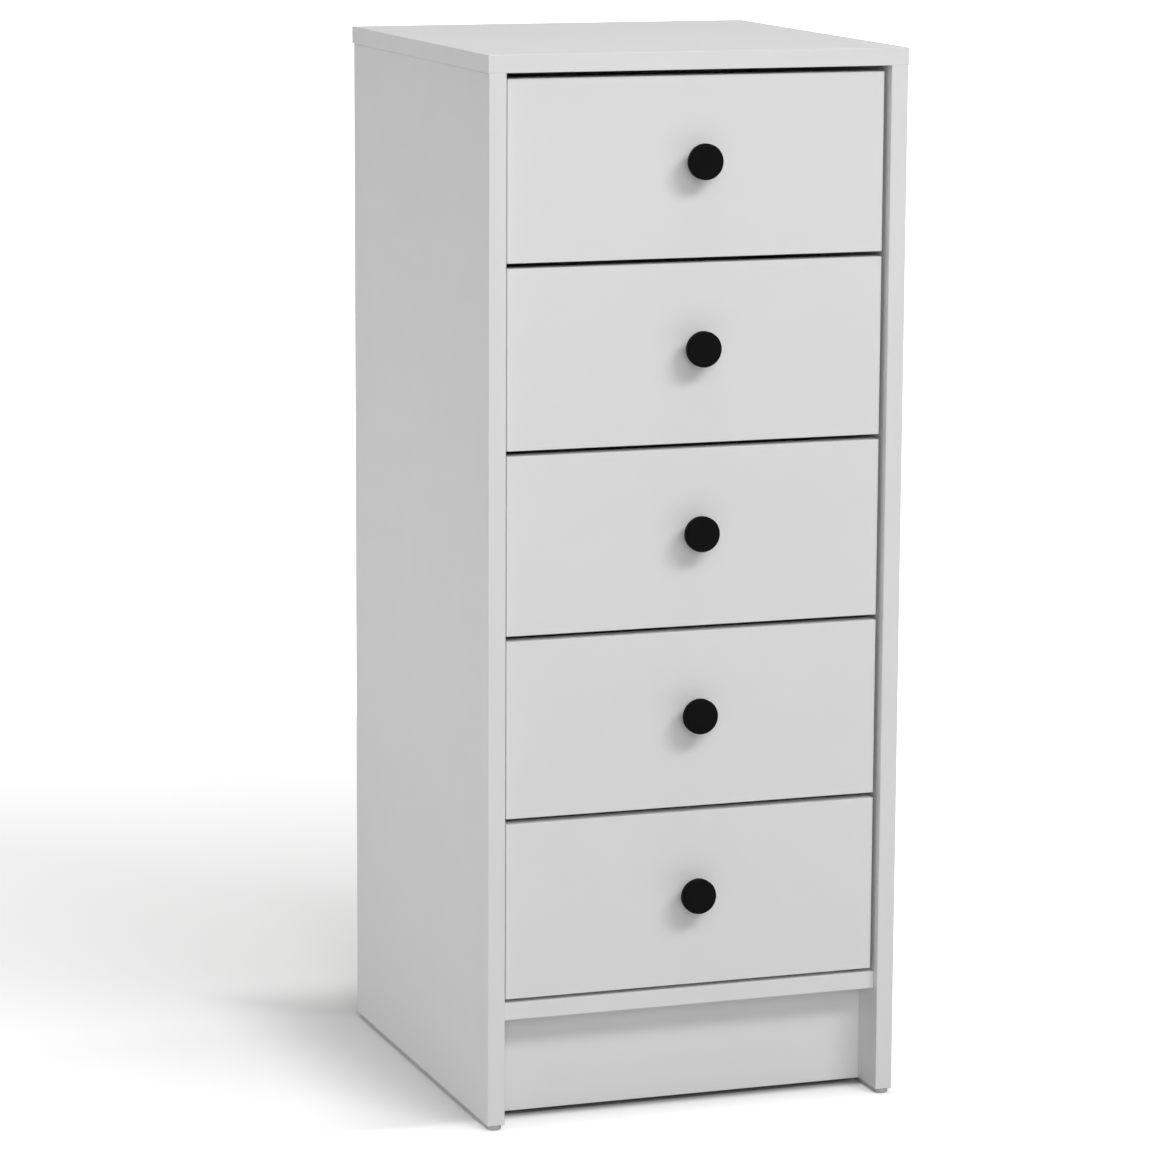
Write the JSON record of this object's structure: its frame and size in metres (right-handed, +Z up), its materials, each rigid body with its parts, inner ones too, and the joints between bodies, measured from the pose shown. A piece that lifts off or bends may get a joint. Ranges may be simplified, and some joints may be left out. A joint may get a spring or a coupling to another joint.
{
  "type": "tall chest of drawers",
  "caption": "Tall narrow white chest with equal inset drawers on roller runners, a round black knob on each front, a flat top and a recessed plinth.",
  "frame": {"origin": "on the floor, under the middle of the whole piece, knobs included", "axes": "+Z up, the drawer fronts face -Y, +X to the right of someone facing the fronts"},
  "size_m": [0.371, 0.404, 0.9082],
  "materials": {
    "white_board": "smooth satin white melamine facing on particle board",
    "hardboard": "thin hardboard with a white painted face",
    "black_knob": "satin black",
    "runner_steel": "white epoxy-coated rolled steel",
    "zinc_fittings": "zinc-plated",
    "nylon_roller": "natural moulded nylon",
    "glide_plastic": "moulded pale grey plastic",
    "beech_dowel": "plain fluted beech"
  },
  "bodies": {
    "cabinet": {"top_panel": "white_board", "left_side_panel": "white_board", "right_side_panel": "white_board", "bottom_panel": "white_board", "plinth": "white_board", "back_panel": "hardboard", "floor_glides": "glide_plastic", "cam_fittings": "zinc_fittings", "dowels": "beech_dowel", "cabinet_runners": "runner_steel"},
    "drawer_1": {"drawer_1_front": "white_board", "drawer_1_left_side": "white_board", "drawer_1_right_side": "white_board", "drawer_1_back": "white_board", "drawer_1_base": "hardboard", "drawer_1_knob": "black_knob", "drawer_1_fittings": "zinc_fittings", "drawer_1_runners": "runner_steel"},
    "drawer_1_rear_rollers": {"drawer_1_rear_rollers": "nylon_roller"},
    "drawer_1_front_rollers": {"drawer_1_front_rollers": "nylon_roller"},
    "drawer_2": {"drawer_2_front": "white_board", "drawer_2_left_side": "white_board", "drawer_2_right_side": "white_board", "drawer_2_back": "white_board", "drawer_2_base": "hardboard", "drawer_2_knob": "black_knob", "drawer_2_fittings": "zinc_fittings", "drawer_2_runners": "runner_steel"},
    "drawer_2_rear_rollers": {"drawer_2_rear_rollers": "nylon_roller"},
    "drawer_2_front_rollers": {"drawer_2_front_rollers": "nylon_roller"},
    "drawer_3": {"drawer_3_front": "white_board", "drawer_3_left_side": "white_board", "drawer_3_right_side": "white_board", "drawer_3_back": "white_board", "drawer_3_base": "hardboard", "drawer_3_knob": "black_knob", "drawer_3_fittings": "zinc_fittings", "drawer_3_runners": "runner_steel"},
    "drawer_3_rear_rollers": {"drawer_3_rear_rollers": "nylon_roller"},
    "drawer_3_front_rollers": {"drawer_3_front_rollers": "nylon_roller"},
    "drawer_4": {"drawer_4_front": "white_board", "drawer_4_left_side": "white_board", "drawer_4_right_side": "white_board", "drawer_4_back": "white_board", "drawer_4_base": "hardboard", "drawer_4_knob": "black_knob", "drawer_4_fittings": "zinc_fittings", "drawer_4_runners": "runner_steel"},
    "drawer_4_rear_rollers": {"drawer_4_rear_rollers": "nylon_roller"},
    "drawer_4_front_rollers": {"drawer_4_front_rollers": "nylon_roller"},
    "drawer_5": {"drawer_5_front": "white_board", "drawer_5_left_side": "white_board", "drawer_5_right_side": "white_board", "drawer_5_back": "white_board", "drawer_5_base": "hardboard", "drawer_5_knob": "black_knob", "drawer_5_fittings": "zinc_fittings", "drawer_5_runners": "runner_steel"},
    "drawer_5_rear_rollers": {"drawer_5_rear_rollers": "nylon_roller"},
    "drawer_5_front_rollers": {"drawer_5_front_rollers": "nylon_roller"}
  },
  "joints": [
    {"name": "drawer_1_slide", "type": "slide", "parent": "cabinet", "child": "drawer_1", "axis": [0, -1, 0], "range_m": [0, 0.255]},
    {"name": "drawer_1_rear_roller_spin", "type": "hinge", "parent": "drawer_1", "child": "drawer_1_rear_rollers", "pos_m": [0, 0.173, 0.7604], "axis": [1, 0, 0], "continuous": true},
    {"name": "drawer_1_front_roller_spin", "type": "hinge", "parent": "cabinet", "child": "drawer_1_front_rollers", "pos_m": [0, -0.151, 0.7624], "axis": [1, 0, 0], "continuous": true},
    {"name": "drawer_2_slide", "type": "slide", "parent": "cabinet", "child": "drawer_2", "axis": [0, -1, 0], "range_m": [0, 0.255]},
    {"name": "drawer_2_rear_roller_spin", "type": "hinge", "parent": "drawer_2", "child": "drawer_2_rear_rollers", "pos_m": [0, 0.173, 0.6043], "axis": [1, 0, 0], "continuous": true},
    {"name": "drawer_2_front_roller_spin", "type": "hinge", "parent": "cabinet", "child": "drawer_2_front_rollers", "pos_m": [0, -0.151, 0.6063], "axis": [1, 0, 0], "continuous": true},
    {"name": "drawer_3_slide", "type": "slide", "parent": "cabinet", "child": "drawer_3", "axis": [0, -1, 0], "range_m": [0, 0.255]},
    {"name": "drawer_3_rear_roller_spin", "type": "hinge", "parent": "drawer_3", "child": "drawer_3_rear_rollers", "pos_m": [0, 0.173, 0.4482], "axis": [1, 0, 0], "continuous": true},
    {"name": "drawer_3_front_roller_spin", "type": "hinge", "parent": "cabinet", "child": "drawer_3_front_rollers", "pos_m": [0, -0.151, 0.4502], "axis": [1, 0, 0], "continuous": true},
    {"name": "drawer_4_slide", "type": "slide", "parent": "cabinet", "child": "drawer_4", "axis": [0, -1, 0], "range_m": [0, 0.255]},
    {"name": "drawer_4_rear_roller_spin", "type": "hinge", "parent": "drawer_4", "child": "drawer_4_rear_rollers", "pos_m": [0, 0.173, 0.2921], "axis": [1, 0, 0], "continuous": true},
    {"name": "drawer_4_front_roller_spin", "type": "hinge", "parent": "cabinet", "child": "drawer_4_front_rollers", "pos_m": [0, -0.151, 0.2941], "axis": [1, 0, 0], "continuous": true},
    {"name": "drawer_5_slide", "type": "slide", "parent": "cabinet", "child": "drawer_5", "axis": [0, -1, 0], "range_m": [0, 0.255]},
    {"name": "drawer_5_rear_roller_spin", "type": "hinge", "parent": "drawer_5", "child": "drawer_5_rear_rollers", "pos_m": [0, 0.173, 0.136], "axis": [1, 0, 0], "continuous": true},
    {"name": "drawer_5_front_roller_spin", "type": "hinge", "parent": "cabinet", "child": "drawer_5_front_rollers", "pos_m": [0, -0.151, 0.138], "axis": [1, 0, 0], "continuous": true}
  ],
  "couplings": [
    {"joint": "drawer_1_rear_roller_spin", "follows": "drawer_1_slide", "rad_per_m": 129.87},
    {"joint": "drawer_1_front_roller_spin", "follows": "drawer_1_slide", "rad_per_m": 129.87},
    {"joint": "drawer_2_rear_roller_spin", "follows": "drawer_2_slide", "rad_per_m": 129.87},
    {"joint": "drawer_2_front_roller_spin", "follows": "drawer_2_slide", "rad_per_m": 129.87},
    {"joint": "drawer_3_rear_roller_spin", "follows": "drawer_3_slide", "rad_per_m": 129.87},
    {"joint": "drawer_3_front_roller_spin", "follows": "drawer_3_slide", "rad_per_m": 129.87},
    {"joint": "drawer_4_rear_roller_spin", "follows": "drawer_4_slide", "rad_per_m": 129.87},
    {"joint": "drawer_4_front_roller_spin", "follows": "drawer_4_slide", "rad_per_m": 129.87},
    {"joint": "drawer_5_rear_roller_spin", "follows": "drawer_5_slide", "rad_per_m": 129.87},
    {"joint": "drawer_5_front_roller_spin", "follows": "drawer_5_slide", "rad_per_m": 129.87}
  ]
}
